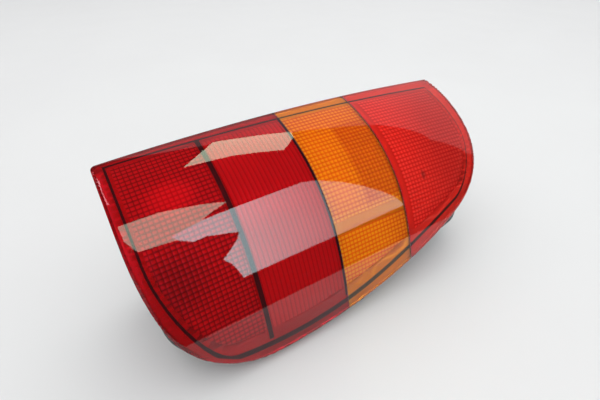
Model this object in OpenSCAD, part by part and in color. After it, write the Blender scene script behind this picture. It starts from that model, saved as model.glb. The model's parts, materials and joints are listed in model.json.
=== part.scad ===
// Wrap-around rear lamp for a vehicle, lying on its back: three-colour lens over a black housing.
// X runs along the lamp from the wide end to the nose, +Y points to the straight inner edge,
// +Z points out of the lens. Z = 0 is the housing floor that seats on the car body.

/* [Lens] */
// Height of the lens crown above the seat on the car body
crown_height = 120; // [112:1:130]
// Slope of the lens where the profile starts at the straight edge, in degrees
start_slope = 6; // [4:0.5:9]
// Radius of the flat upper stretch of the lens profile
crown_radius = 159; // [150:1:170]
// Slope where the upper stretch meets the shoulder, in degrees
shoulder_slope = 27; // [25:1:29]
// Radius of the shoulder that turns the lens round the corner
shoulder_radius = 133; // [128:1:138]
// Slope where the shoulder meets the flank, in degrees
flank_slope = 62; // [60:1:64]
// Radius of the flank
flank_radius = 260; // [240:5:280]
// Slope of the straight end of the flank, in degrees
end_slope = 74; // [72:1:76]
// Radius of the gentle bow along the lamp
bow_radius = 2500; // [2300:50:3000]
// Place along X of the top of the bow
bow_middle = 160; // [150:5:180]
// Thickness of the lens
lens_wall = 3; // [2.4:0.1:3.4]
// Depth of the lens rim
rim_depth = 9; // [7:0.5:11]
// Thickness of the lens rim
rim_wall = 2.4; // [2:0.1:2.8]
// How far the lens reaches down below its crown
lens_drop = 147.3; // [144.5:0.1:149]
// Radius of the end edge where it starts to turn in at the wide end
wide_edge_radius = 200; // [180:5:220]
// Angle at which the end edge meets the big rounded corner, in degrees
wide_edge_angle = 16.5; // [14:0.5:19]
// Radius of the big rounded corner at the wide end
wide_corner = 85.5; // [80:0.5:90]
// Radius of the long sweep from the wide corner to the nose
sweep_radius = 512; // [490:2:530]
// Angle at which the sweep meets the nose, in degrees
sweep_angle = 26; // [25:0.5:27]
// Radius of the nose
nose_radius = 81; // [76:1:86]
// Angle of the short straight edge at the nose, in degrees
nose_angle = 81; // [79:0.5:83]
// Radius of the corner between the wide end and the straight edge
small_corner = 7; // [4:0.5:9]

/* [Cells] */
// Place along X of the wall between the first two cells
wall_1 = 85; // [82:1:88]
// Place along X of the joint between the dark red and the amber lens
wall_2 = 164; // [160:1:168]
// Place along X of the joint between the amber and the bright red lens
wall_3 = 243; // [240:1:248]
// Thickness of a cell wall
cell_wall = 1.6; // [1.2:0.1:2]
// Gap inside the double wall between the first two cells
double_gap = 2.4; // [1.6:0.2:3]

/* [Housing] */
// Thickness of the housing wall
wall = 2.5; // [2:0.1:3]
// Thickness of the sealing bead between lens and housing
seal_wall = 1; // [0.8:0.1:1.4]
// Distance from the wide end of the lens to the housing wall
lip_wide = 8; // [7:0.5:9]
// Distance from the straight edge to the housing at the wide end
lip_far_wide = 4; // [3.5:0.25:5]
// Distance from the straight edge to the housing at the nose
lip_far_nose = 13; // [11:0.5:14]
// Distance from the nose of the lens to the housing wall
lip_nose = 13.3; // [12:0.1:15]
// Distance from the lower edge of the lens to the near wall of the housing
lip_near = 4.5; // [4.2:0.1:6]
// Radius of the near wall, seen from above
near_radius = 1050; // [1000:10:1100]
// Place along X where the near wall reaches furthest
near_middle = 110; // [105:1:115]
// Radius of the housing corner at the wide end
housing_corner = 48; // [44:1:52]
// Radius of the housing corner at the nose
housing_nose = 48; // [45:1:52]
// Distance from the bulb carrier to the near edge of the floor
floor_margin = 12; // [11:0.5:14]
// Drop of the wing that follows the lens round the corner
wing_drop = 35; // [32:0.5:36]
// Distance from the near wall to the near edge of the wing's foot
foot_inset = 8.5; // [7.5:0.25:9.5]
// Width of the wing's foot
foot_width = 3; // [2:0.25:4]
// Slope from the foot up to the near wall, in degrees
foot_slope = 52; // [48:1:56]

/* [Bulb carrier] */
// Distance from the straight edge to the row of bulbs
bulb_row = 53; // [51:0.5:55]
// Length of the opening in the housing floor
opening_length = 274; // [270:1:277]
// Width of the opening in the housing floor
opening_width = 52; // [48:1:54]
// How far the carrier overlaps the floor round the opening
carrier_lap = 5; // [4:0.25:5.5]
// Thickness of the carrier plate
carrier_wall = 3; // [2.4:0.1:3.5]
// Thickness of the foam gasket under the carrier
carrier_gasket_wall = 1.5; // [1:0.1:2]
// Outer radius of a bulb socket
socket_radius = 10; // [9.6:0.1:10.5]
// Height of a bulb socket above the seat
socket_height = 16; // [14:0.5:18]
// Radius of a bulb cap
cap_radius = 7.5; // [7.3:0.1:7.8]
// Radius of the glass of a bulb
glass_radius = 13; // [12:0.25:13.5]
// Radius of the reflector dishes
dish_radius = 34; // [32:0.5:35]
// Focal length of the reflector dishes
dish_focus = 15; // [14:0.5:18]
// Height of the reflector shelf above the seat
shelf_height = 47; // [45:0.5:49]
// Thickness of the reflector
reflector_wall = 1.8; // [1.5:0.1:2.2]

/* [Fixing] */
// Distance from the housing wall at the wide end to the first studs
stud_inset_wide = 12; // [11:0.5:13]
// Least distance from the housing wall at the nose to the last studs
stud_inset_nose = 21; // [19:0.5:23]
// Spacing of the studs across the lamp
stud_spacing_y = 52; // [48:1:54]
// Distance from the straight edge to the far studs
stud_far = 25; // [23:0.5:26]
// Radius of a stud
stud_radius = 3; // [2.5:0.25:3]
// Radius of the knurled root that holds a stud in its boss
stud_root = 4; // [3.5:0.25:4.5]
// Free length of a stud below the seat
stud_length = 35; // [30:0.5:40]
// Thickness of the foam gasket on the seat
body_gasket_wall = 6; // [4:0.5:8]

/* [Hidden] */
$fn = 48;

// Clearance between pieces that are fitted into each other
fit = 0.3;
// Reach of the cutting solids past the lamp on every side
past = 60;
big = 500;

// Heights above the seat
lens_bottom = crown_height - lens_drop;
shelf_under = shelf_height - reflector_wall;
carrier_top = -carrier_gasket_wall;
carrier_bottom = carrier_top - carrier_wall;

// Colours
dark_red = [0.55, 0.03, 0.04];
amber = [0.95, 0.50, 0.08];
bright_red = [0.82, 0.08, 0.08];
black_plastic = [0.10, 0.10, 0.11];
grey_plastic = [0.62, 0.62, 0.60];
metallised = [0.86, 0.86, 0.88];
foam = [0.18, 0.18, 0.19];
brass = [0.80, 0.65, 0.30];
steel = [0.70, 0.70, 0.72];
clear_glass = [0.80, 0.90, 0.95];

// Turn between two points of a smooth outline, in degrees
smooth_step = 2.5;
function smooth_steps(a, b) = ceil(abs(b - a) / smooth_step);
function end_of(points) = points[len(points) - 1];

// Points of an arc that runs on from a point and turns its slope to b, each as [reach, height, slope]
function arc_run(from, radius, b) =
    let (a = from[2], steps = smooth_steps(a, b))
    [for (i = [1 : steps]) let (t = a + (b - a) * i / steps)
        [from[0] + radius * (sin(t) - sin(a)), from[1] + radius * (cos(t) - cos(a)), t]];

// Points of a circle from angle a to angle b
function circle_run(middle, radius, a, b, steps) =
    [for (i = [0 : steps]) let (t = a + (b - a) * i / steps) middle + radius * [cos(t), sin(t)]];

// Lens profile as [distance from the straight edge, height above the crown, slope]
profile_start = [0, 0, start_slope];
crown_points = arc_run(profile_start, crown_radius, shoulder_slope);
shoulder_points = arc_run(end_of(crown_points), shoulder_radius, flank_slope);
flank_points = arc_run(end_of(shoulder_points), flank_radius, end_slope);
profile = concat([profile_start], crown_points, shoulder_points, flank_points);
function inset_profile(d) = [for (p = profile) [p[0] - d * sin(p[2]), p[1] - d * cos(p[2])]];

// Everything below the lens surface, offset inwards by d
bow_sector = 24;
module below_lens(d) {
    line = inset_profile(d);
    first = line[0] - past * [cos(start_slope), -sin(start_slope)];
    last = end_of(line) + past * [cos(end_slope), -sin(end_slope)];
    deep = [first[0], last[1]];
    translate([bow_middle, 0, crown_height - bow_radius])
        rotate([90, 0, 0])
            rotate([0, 0, 90 - bow_sector / 2])
                rotate_extrude(angle = bow_sector, $fn = 720)
                    polygon([for (p = concat([first], line, [last, deep])) [bow_radius + p[1], p[0]]]);
}

// Outline of the lens from the front, as [X, Z], with every edge moved in by d
corner_offset = (wide_edge_radius - wide_corner) * [cos(wide_edge_angle), sin(wide_edge_angle)];
edge_middle = [wide_edge_radius, lens_bottom + wide_corner + corner_offset[1]];
corner_middle = edge_middle - corner_offset;
sweep_middle = [corner_middle[0], lens_bottom + sweep_radius];
nose_middle = sweep_middle + (sweep_radius - nose_radius) * [sin(sweep_angle), -cos(sweep_angle)];
function nose_edge(d) = nose_middle + (nose_radius - d) * [sin(nose_angle), -cos(nose_angle)];
function nose_end(d, height) = nose_edge(d) + (height - nose_edge(d)[1]) * [1 / tan(nose_angle), 1];
function smooth_run(middle, radius, a, b) = circle_run(middle, radius, a, b, smooth_steps(a, b));
function lens_outline(d) =
    concat([[d, crown_height + past]],
        smooth_run(edge_middle, wide_edge_radius - d, 180, 180 + wide_edge_angle),
        smooth_run(corner_middle, wide_corner - d, 180 + wide_edge_angle, 270),
        smooth_run(sweep_middle, sweep_radius - d, 270, 270 + sweep_angle),
        smooth_run(nose_middle, nose_radius - d, 270 + sweep_angle, 270 + nose_angle),
        [nose_end(d, crown_height + past)]);

// Overall length of the lens at its crown, and its reach at its lower edge
lens_length = nose_end(0, crown_height)[0];
lens_reach = end_of(profile)[0] + (lens_drop + end_of(profile)[1]) / tan(end_slope);

// Block inside the outline of the lens, with its straight edge and small corner, moved in by d
module lens_block(d) {
    intersection() {
        rotate([90, 0, 0])
            linear_extrude(height = big)
                polygon(lens_outline(d));
        translate([0, 0, -big / 2])
            linear_extrude(height = big)
                polygon(concat(circle_run([small_corner, -small_corner], small_corner - d, 180, 90, 6),
                    [[big, -d], [big, -big], [d, -big]]));
    }
}

// Outline of the housing from above, moved in by d: the near wall is an arc, and each corner is
// an arc that touches it from inside and the end wall
nose_wall = lens_length - lip_nose;
housing_reach = lens_reach - lip_near;
near_centre = [near_middle, housing_reach - near_radius];
function corner_turn(x, radius) = asin((x - near_middle) / (near_radius - radius));
function corner_centre(x, radius) =
    [x, near_centre[1] + (near_radius - radius) * cos(corner_turn(x, radius))];
wide_corner_x = lip_wide + housing_corner;
nose_corner_x = nose_wall - housing_nose;
wide_turn = corner_turn(wide_corner_x, housing_corner);
nose_turn = corner_turn(nose_corner_x, housing_nose);
corner_steps = 12;
near_steps = 12;
function housing_outline(d) =
    [for (p = concat([[lip_wide + d, lip_far_wide + d]],
        circle_run(corner_centre(wide_corner_x, housing_corner), housing_corner - d, 180, 90 - wide_turn,
            corner_steps),
        circle_run(near_centre, near_radius - d, 90 - wide_turn, 90 - nose_turn, near_steps),
        circle_run(corner_centre(nose_corner_x, housing_nose), housing_nose - d, 90 - nose_turn, 0,
            corner_steps),
        [[nose_wall - d, lip_far_nose + d]])) [p[0], -p[1]]];

// Underside of the housing, seen along the lamp and from the front, moved in by d
floor_reach = bulb_row + opening_width / 2 + carrier_lap + floor_margin;
foot_reach = housing_reach - foot_inset;
wing_slope = atan2(wing_drop, foot_reach - foot_width - floor_reach);
function section_line(d) =
    let (shift = d * tan(wing_slope / 2),
        foot = foot_reach - d * tan(foot_slope / 2))
    [[-past, d], [floor_reach + shift, d], [foot_reach - foot_width + shift, d - wing_drop],
        [foot, d - wing_drop], [foot + past, d - wing_drop + past * tan(foot_slope)],
        [foot + past, big], [-past, big]];
wing_start = 30;
wing_low_start = 80;
wing_low_end = 165;
wing_end = 255;
function front_line(d) =
    let (rise = d * tan(atan2(wing_drop, wing_low_start - wing_start) / 2),
        fall = d * tan(atan2(wing_drop, wing_end - wing_low_end) / 2))
    [[-past, d], [wing_start + rise, d], [wing_low_start + rise, d - wing_drop],
        [wing_low_end - fall, d - wing_drop], [wing_end - fall, d], [big, d],
        [big, crown_height + past], [-past, crown_height + past]];

// Block inside the housing's outline and above its underside, moved in by d
module housing_block(d) {
    intersection() {
        translate([0, 0, -past])
            linear_extrude(height = crown_height + 2 * past)
                polygon(housing_outline(d));
        rotate([90, 0, 90])
            translate([0, 0, -past])
                linear_extrude(height = big)
                    mirror([1, 0])
                        polygon(section_line(d));
        rotate([90, 0, 0])
            linear_extrude(height = big)
                polygon(front_line(d));
    }
}

// Places of the bulbs, studs and hooks
tail_x = (lip_wide + wall + wall_1 - cell_wall - double_gap / 2) / 2;
fog_x = (wall_1 + wall_2) / 2;
indicator_x = (wall_2 + wall_3) / 2;
brake_x = wall_3 + (nose_wall - wall_3) / 2 - 1;
bulbs_x = [tail_x, fog_x, indicator_x, brake_x];
stud_first = lip_wide + stud_inset_wide;
// The spacing along the lamp is a whole number of millimetres
stud_spacing_x = floor(nose_wall - stud_inset_nose - stud_first);
studs = [for (x = [0, stud_spacing_x], y = [0, stud_spacing_y]) [stud_first + x, -stud_far - y]];
opening_middle = [(tail_x + brake_x) / 2, -bulb_row];
hook_spacing = 160;
hooks_x = [opening_middle[0] - hook_spacing / 2, opening_middle[0] + hook_spacing / 2];
hook_length = 12;
hook_wall = 3.4;
hook_catch = 2.6;
opening_corner = 8;
peg_radius = 3;
peg_length = 12;
peg_place = [stud_first + stud_spacing_x, -bulb_row];
root_height = 10;
boss_wall = 2;
post_radius = 3.5;
posts_y = [-22, -88];
spigot_radius = 3;
spigot_length = 7;
spigot_place = [nose_wall - wall / 2, -bulb_row, shelf_height / 2];

module rounded_plate(size, corner) {
    polygon(concat(
        circle_run([size[0] / 2 - corner, size[1] / 2 - corner], corner, 0, 90, 6),
        circle_run([corner - size[0] / 2, size[1] / 2 - corner], corner, 90, 180, 6),
        circle_run([corner - size[0] / 2, corner - size[1] / 2], corner, 180, 270, 6),
        circle_run([size[0] / 2 - corner, corner - size[1] / 2], corner, 270, 360, 6)));
}

// Plate over the opening, grown by g past it, from height low to height high
module opening_plate(g, low, high) {
    translate([opening_middle[0], opening_middle[1], low])
        linear_extrude(height = high - low)
            rounded_plate([opening_length + 2 * g, opening_width + 2 * g], opening_corner + g);
}

// Moves the lamp to its own frame: the middle of the stud pattern is the origin
module in_frame() {
    translate([-stud_first - stud_spacing_x / 2, stud_far + stud_spacing_y / 2, 0])
        children();
}

// The part of the lens between two places along X
module lens_piece(from, to) {
    intersection() {
        difference() {
            union() {
                difference() {
                    lens_block(0);
                    below_lens(lens_wall);
                }
                difference() {
                    lens_block(0);
                    below_lens(rim_depth);
                    lens_block(rim_wall);
                }
            }
            housing_zone(fit);
        }
        below_lens(0);
        translate([from, -big, -past])
            cube([to - from, 2 * big, crown_height + 2 * past]);
    }
}

// Room that the housing takes up below the lens, grown by g
module housing_zone(g) {
    intersection() {
        translate([0, 0, -past])
            linear_extrude(height = crown_height + 2 * past)
                polygon(housing_outline(-g));
        below_lens(lens_wall);
    }
}

module lens_dark_red() {
    color(dark_red) in_frame() lens_piece(-past, wall_2);
}

module lens_amber() {
    color(amber) in_frame() lens_piece(wall_2, wall_3);
}

module lens_bright_red() {
    color(bright_red) in_frame() lens_piece(wall_3, big);
}

// Sealing bead between the lens and the top of the housing wall, with strips over the walls of the
// second cell that keep its light from the cells beside it
module lens_seal() {
    color(black_plastic) in_frame()
        intersection() {
            union() {
                difference() {
                    housing_block(0);
                    housing_block(wall);
                    below_lens(lens_wall + seal_wall);
                }
                difference() {
                    union() {
                        wall_slab(wall_1, double_gap + 2 * cell_wall);
                        wall_slab(wall_2 - cell_wall / 2, cell_wall);
                    }
                    below_lens(lens_wall + reflector_gap);
                }
            }
            housing_block(0);
            below_lens(lens_wall);
            lens_block(rim_wall + fit);
        }
}

module hook(side) {
    reach = opening_width / 2 + carrier_lap + fit;
    low = carrier_bottom - fit - 2;
    translate([-hook_length / 2, side > 0 ? reach : -reach - hook_wall, low])
        cube([hook_length, hook_wall, -low + wall / 2]);
    translate([-hook_length / 2, side > 0 ? reach - hook_catch : -reach - 1, low])
        cube([hook_length, hook_catch + 1, 2]);
}

// Upright ribs on the outside of the straight wall
ribs = 7;
rib_wall = 1.8;
rib_reach = 2;
module wall_ribs() {
    for (i = [1 : ribs]) {
        x = lip_wide + (nose_wall - lip_wide) * i / (ribs + 1);
        far = lip_far_wide + (lip_far_nose - lip_far_wide) * i / (ribs + 1);
        translate([x - rib_wall / 2, -far - wall / 2, 0])
            cube([rib_wall, rib_reach + wall / 2, crown_height - rim_depth - 14]);
    }
}

module housing() {
    color(black_plastic) in_frame() {
        difference() {
            union() {
                difference() {
                    intersection() {
                        housing_block(0);
                        below_lens(lens_wall + seal_wall);
                    }
                    housing_block(wall);
                }
                for (s = studs)
                    translate([s[0], s[1], wall / 2])
                        cylinder(r = stud_root + boss_wall, h = root_height + boss_wall - wall / 2);
                for (x = [wall_1, wall_2, wall_3], y = posts_y)
                    translate([x, y, wall / 2])
                        cylinder(r = post_radius, h = shelf_under - wall / 2);
                for (x = hooks_x, side = [-1, 1])
                    translate([x, -bulb_row, 0])
                        hook(side);
                translate([peg_place[0], peg_place[1], -peg_length])
                    cylinder(r = peg_radius, h = peg_length + wall / 2);
                translate(spigot_place)
                    rotate([0, 90, 0])
                        cylinder(r = spigot_radius, h = spigot_length + wall / 2);
                wall_ribs();
            }
            opening_plate(0, -1, wall + 1);
            for (s = studs)
                translate([s[0], s[1], -1])
                    cylinder(r = stud_root, h = root_height + 1);
            translate(spigot_place - [wall, 0, 0])
                rotate([0, 90, 0])
                    cylinder(r = spigot_radius - 1.2, h = spigot_length + 3 * wall);
        }
    }
}

// Steel studs moulded into the housing
module mounting_studs() {
    color(steel) in_frame()
        for (s = studs)
            translate([s[0], s[1], 0]) {
                translate([0, 0, -stud_length])
                    cylinder(r = stud_radius, h = stud_length + root_height / 2);
                cylinder(r = stud_root, h = root_height);
            }
}

module breather_cap() {
    color(foam) in_frame()
        translate([nose_wall + 1, -bulb_row, shelf_height / 2])
            rotate([0, 90, 0])
                difference() {
                    cylinder(r = spigot_radius + 2.2, h = spigot_length + 1.5);
                    translate([0, 0, -1])
                        cylinder(r = spigot_radius, h = spigot_length);
                }
}

// Tub with one dish for each bulb in its shelf, a slope down the wing, upright walls all round
// and the cell walls
shelf_reach = 94;
shelf_wing_run = 22;
shelf_wing_drop = 61;
shelf_wing_slope = atan2(shelf_wing_drop, shelf_wing_run);
reflector_gap = 0.6;
tub_wall_thickness = 1.2;
dish_clearance = 1;
dish_depth = dish_radius * dish_radius / (4 * dish_focus);
dish_hole = glass_radius + dish_clearance;
function dish_curve(lift, steps) =
    [for (i = [0 : steps]) let (r = dish_hole + (dish_radius - dish_hole) * i / steps)
        [r, shelf_height - dish_depth + r * r / (4 * dish_focus) + lift]];

module dish(lift) {
    curve = dish_curve(lift, 8);
    rotate_extrude()
        polygon(concat(curve, [[dish_radius, shelf_height + past], [dish_hole, shelf_height + past]]));
}

module shelf_section(drop) {
    lift = -drop;
    side = drop / sin(shelf_wing_slope);
    bend = [shelf_reach - drop * tan(shelf_wing_slope / 2), shelf_height + lift];
    foot = [shelf_reach + shelf_wing_run - side, shelf_height - shelf_wing_drop];
    rotate([90, 0, 90])
        linear_extrude(height = big)
            mirror([1, 0])
                polygon([[-past, shelf_height + lift], bend, foot, [foot[0], -big], [big, -big],
                    [big, big], [-past, big]]);
}

module reflector_room() {
    intersection() {
        housing_block(wall + fit);
        below_lens(lens_wall + reflector_gap);
    }
}

module wall_slab(x, thick) {
    translate([x - thick / 2, -big / 2, -past])
        cube([thick, big, crown_height + 2 * past]);
}

// Upright wall of the tub, just inside the housing wall
module tub_wall() {
    difference() {
        housing_block(wall + fit);
        translate([0, 0, -past])
            linear_extrude(height = crown_height + 2 * past)
                polygon(housing_outline(wall + fit + tub_wall_thickness));
    }
}

module reflector() {
    color(metallised) in_frame()
        difference() {
            union() {
                intersection() {
                    reflector_room();
                    difference() {
                        shelf_section(reflector_wall);
                        shelf_section(0);
                    }
                    translate([-past, -big / 2, shelf_height - shelf_wing_drop])
                        cube([big, big, big]);
                }
                for (x = bulbs_x)
                    translate([x, -bulb_row, 0])
                        intersection() {
                            difference() {
                                dish(-reflector_wall);
                                dish(0);
                            }
                            translate([0, 0, -past])
                                cylinder(r = dish_radius, h = shelf_height + past);
                        }
                intersection() {
                    reflector_room();
                    shelf_section(0);
                    union() {
                        tub_wall();
                        wall_slab(wall_1 - double_gap / 2 - cell_wall / 2, cell_wall);
                        wall_slab(wall_1 + double_gap / 2 + cell_wall / 2, cell_wall);
                        wall_slab(wall_2 - cell_wall / 2, cell_wall);
                        wall_slab(wall_3, cell_wall);
                    }
                    translate([-past, -big / 2, shelf_height - shelf_wing_drop])
                        cube([big, big, big]);
                }
            }
            for (x = bulbs_x)
                translate([x, -bulb_row, 0]) {
                    dish(0);
                    cylinder(r = dish_hole, h = shelf_height);
                }
        }
}

// Plug-in plate that carries the bulbs
plug_shift = -8;
plug_offset = 17.5;
plug_length = 36;
plug_width = 20;
plug_corner = 3;
plug_middle = [opening_middle[0] + plug_shift, -bulb_row - plug_offset];
plug_size = [plug_length, plug_width];
plug_depth = 18;
plug_wall = 2;
blade_width = 4.8;
blade_wall = 0.8;
blade_reach = 12;
blade_row = 3.5;
blade_pitch = 11;
strip_width = 4;
strip_wall = 0.8;
slot_width = 2.6;
notch_height = 1.7;
rim_inset = 4;

carrier_rib = 2;
carrier_rib_depth = 5;
module carrier_ribs() {
    low = carrier_bottom - carrier_rib_depth;
    difference() {
        opening_plate(carrier_lap - rim_inset, low, carrier_bottom + 1);
        opening_plate(carrier_lap - rim_inset - carrier_rib, low - 1, carrier_bottom + 2);
    }
    for (i = [1 : len(bulbs_x) - 1])
        translate([(bulbs_x[i - 1] + bulbs_x[i] - carrier_rib) / 2, -bulb_row - opening_width / 2, low])
            cube([carrier_rib, opening_width, carrier_rib_depth + 1]);
}

module bulb_carrier() {
    blades = concat([for (i = [-1 : 1]) [plug_middle[0] + i * blade_pitch, plug_middle[1] + blade_row]],
        [for (i = [-1, 1]) [plug_middle[0] + i * blade_pitch, plug_middle[1] - blade_row]]);
    color(grey_plastic) in_frame()
        difference() {
            union() {
                opening_plate(carrier_lap, carrier_bottom, carrier_top);
                carrier_ribs();
                for (x = bulbs_x)
                    translate([x, -bulb_row, carrier_top - 1])
                        cylinder(r = socket_radius, h = socket_height - carrier_top + 1);
                translate([plug_middle[0], plug_middle[1], carrier_bottom - plug_depth])
                    linear_extrude(height = plug_depth + 1)
                        rounded_plate(plug_size, plug_corner);
            }
            for (x = bulbs_x)
                translate([x, -bulb_row, carrier_top]) {
                    cylinder(r = cap_radius + fit, h = socket_height + past);
                    translate([-slot_width / 2, -socket_radius - 1, 10])
                        cube([slot_width, 2 * socket_radius + 2, past]);
                    translate([-strip_width / 2 - fit, -socket_radius - 1, 0])
                        cube([strip_width + 2 * fit, 2 * socket_radius + 2, notch_height]);
                }
            translate([plug_middle[0], plug_middle[1], carrier_bottom - plug_depth - 1])
                linear_extrude(height = plug_depth + 1)
                    rounded_plate(plug_size - 2 * [plug_wall, plug_wall], plug_corner - plug_wall / 2);
            for (b = blades)
                translate([b[0] - blade_width / 2, b[1] - blade_wall / 2, carrier_bottom - 1])
                    cube([blade_width, blade_wall, carrier_wall + 2]);
        }
}

module carrier_gasket() {
    color(foam) in_frame()
        difference() {
            opening_plate(carrier_lap - 0.5, carrier_top, 0);
            opening_plate(0.5, carrier_top - 1, 1);
        }
}

// Foam ring on the seat, round the carrier and its hooks, with wide holes for studs and peg
body_gasket_inset = 3;
gasket_hole = 2;

module body_gasket() {
    keep = hook_wall + 2 * fit;
    color(foam) in_frame()
        difference() {
            intersection() {
                translate([0, 0, -body_gasket_wall])
                    linear_extrude(height = body_gasket_wall)
                        polygon(housing_outline(body_gasket_inset));
                translate([0, -floor_reach + 0.5, -past])
                    cube([big, big, 2 * past]);
            }
            translate([opening_middle[0], opening_middle[1], -past])
                linear_extrude(height = 2 * past)
                    rounded_plate([opening_length + 2 * carrier_lap + 1.5,
                        opening_width + 2 * carrier_lap + 2 * keep], opening_corner);
            for (s = studs)
                translate([s[0], s[1], -past])
                    cylinder(r = stud_radius + gasket_hole, h = 2 * past);
            translate([peg_place[0], peg_place[1], -past])
                cylinder(r = peg_radius + gasket_hole, h = 2 * past);
        }
}

// Bayonet bulb: a cap with two pins, and a glass envelope
cap_low = 3;
cap_high = 22;
neck_inset = 0.5;
module bulb_cap(x) {
    color(brass) in_frame()
        translate([x, -bulb_row, 0])
            union() {
                translate([0, 0, cap_low + 2])
                    cylinder(r = cap_radius, h = cap_high - cap_low - 2);
                translate([0, 0, cap_low])
                    cylinder(r = 4, h = 3);
                translate([0, -cap_radius - 1.2, cap_low + 8])
                    rotate([-90, 0, 0])
                        cylinder(r = 1, h = 2 * cap_radius + 2.4);
            }
}

module bulb_glass(x) {
    round_height = shelf_height - dish_depth + dish_focus;
    neck = cap_radius - neck_inset;
    join = asin(neck / glass_radius);
    color(clear_glass) in_frame()
        translate([x, -bulb_row, 0])
            rotate_extrude()
                polygon(concat([[0, cap_high], [neck, cap_high]],
                    circle_run([0, round_height], glass_radius, join - 90, 90, 14)));
}

module tail_bulb_glass() { bulb_glass(tail_x); }
module tail_bulb_cap() { bulb_cap(tail_x); }
module fog_bulb_glass() { bulb_glass(fog_x); }
module fog_bulb_cap() { bulb_cap(fog_x); }
module indicator_bulb_glass() { bulb_glass(indicator_x); }
module indicator_bulb_cap() { bulb_cap(indicator_x); }
module brake_bulb_glass() { bulb_glass(brake_x); }
module brake_bulb_cap() { bulb_cap(brake_x); }

// Brass strip from the contact under a bulb to its blade in the plug
module contact(x, column, row) {
    blade = plug_middle + [column * blade_pitch, row * blade_row];
    left = min(x, blade[0]) - strip_width / 2;
    right = max(x, blade[0]) + strip_width / 2;
    color(brass) in_frame()
        union() {
            translate([x, -bulb_row, carrier_top])
                cylinder(r = 2.5, h = cap_low - fit - carrier_top);
            translate([x - strip_width / 2, blade[1] - strip_width / 2, carrier_top])
                cube([strip_width, -bulb_row - blade[1] + strip_width / 2, strip_wall]);
            translate([left, blade[1] - strip_width / 2, carrier_top])
                cube([right - left, strip_width, strip_wall]);
            translate([blade[0] - blade_width / 2, blade[1] - blade_wall / 2, carrier_bottom - blade_reach])
                cube([blade_width, blade_wall, blade_reach + carrier_wall + strip_wall]);
        }
}

module tail_contact() { contact(tail_x, -1, -1); }
module fog_contact() { contact(fog_x, -1, 1); }
module indicator_contact() { contact(indicator_x, 1, 1); }
module brake_contact() { contact(brake_x, 1, -1); }

// Strip along the far side of the sockets, with a tongue into each and one blade
module earth_strip() {
    row = -bulb_row + socket_radius + 3;
    blade = plug_middle + [0, blade_row];
    color(brass) in_frame()
        union() {
            translate([tail_x - strip_width / 2, row, carrier_top])
                cube([brake_x - tail_x + strip_width, strip_width, strip_wall]);
            for (x = bulbs_x)
                translate([x - strip_width / 2, row - 7, carrier_top])
                    cube([strip_width, 8, strip_wall]);
            translate([blade[0] - strip_width / 2, blade[1] - blade_wall / 2, carrier_top])
                cube([strip_width, row - blade[1] + 1, strip_wall]);
            translate([blade[0] - blade_width / 2, blade[1] - blade_wall / 2, carrier_bottom - blade_reach])
                cube([blade_width, blade_wall, blade_reach + carrier_wall + strip_wall]);
        }
}

lens_dark_red();
lens_amber();
lens_bright_red();
lens_seal();
housing();
reflector();
bulb_carrier();
carrier_gasket();
body_gasket();
mounting_studs();
breather_cap();
tail_bulb_glass();
tail_bulb_cap();
fog_bulb_glass();
fog_bulb_cap();
indicator_bulb_glass();
indicator_bulb_cap();
brake_bulb_glass();
brake_bulb_cap();
tail_contact();
fog_contact();
indicator_contact();
brake_contact();
earth_strip();
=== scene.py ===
# %% [markdown]
# This lesson dresses a rear lamp of a car: a three-colour lens that wraps round a corner, bonded to
# a black housing that holds a reflector, four bulbs and a plug-in carrier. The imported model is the
# fixed frame, and every piece made here sits on it. We start by loading it and keeping its box.

# %% Load the frame
import json
import math

import bmesh
import bpy
from mathutils import Matrix, Vector, kdtree


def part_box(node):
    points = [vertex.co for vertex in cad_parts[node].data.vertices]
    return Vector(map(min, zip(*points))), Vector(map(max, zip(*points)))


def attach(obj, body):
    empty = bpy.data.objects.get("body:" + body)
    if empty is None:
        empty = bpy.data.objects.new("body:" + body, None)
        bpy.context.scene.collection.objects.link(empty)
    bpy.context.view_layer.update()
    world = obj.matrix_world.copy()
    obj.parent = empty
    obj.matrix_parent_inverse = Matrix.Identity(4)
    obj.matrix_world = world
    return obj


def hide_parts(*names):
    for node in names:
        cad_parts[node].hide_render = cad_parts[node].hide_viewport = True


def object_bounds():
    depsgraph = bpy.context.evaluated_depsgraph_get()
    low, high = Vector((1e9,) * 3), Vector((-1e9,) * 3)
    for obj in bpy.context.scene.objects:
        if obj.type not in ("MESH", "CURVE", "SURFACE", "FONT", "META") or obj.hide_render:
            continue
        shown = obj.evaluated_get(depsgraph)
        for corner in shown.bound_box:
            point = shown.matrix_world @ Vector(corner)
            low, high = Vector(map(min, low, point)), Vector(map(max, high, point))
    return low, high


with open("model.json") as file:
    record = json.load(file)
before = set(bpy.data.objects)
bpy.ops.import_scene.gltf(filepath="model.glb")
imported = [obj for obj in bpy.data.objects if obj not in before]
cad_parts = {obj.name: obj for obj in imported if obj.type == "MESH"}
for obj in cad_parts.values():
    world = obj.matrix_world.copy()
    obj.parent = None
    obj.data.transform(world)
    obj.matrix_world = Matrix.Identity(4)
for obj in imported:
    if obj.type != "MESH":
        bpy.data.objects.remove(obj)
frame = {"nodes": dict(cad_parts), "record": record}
cad_low, cad_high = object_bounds()
print("nodes in the frame:", len(frame["nodes"]))

# %% [markdown]
# All forms below are drawn in millimetres, in the lamp's own drawing axes: x from the wide end,
# reach from the straight edge towards the wrapped side, and height from the crown. One matrix then
# carries a finished mesh into the frame. The sizes come from the boxes of the three lens colours.

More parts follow.
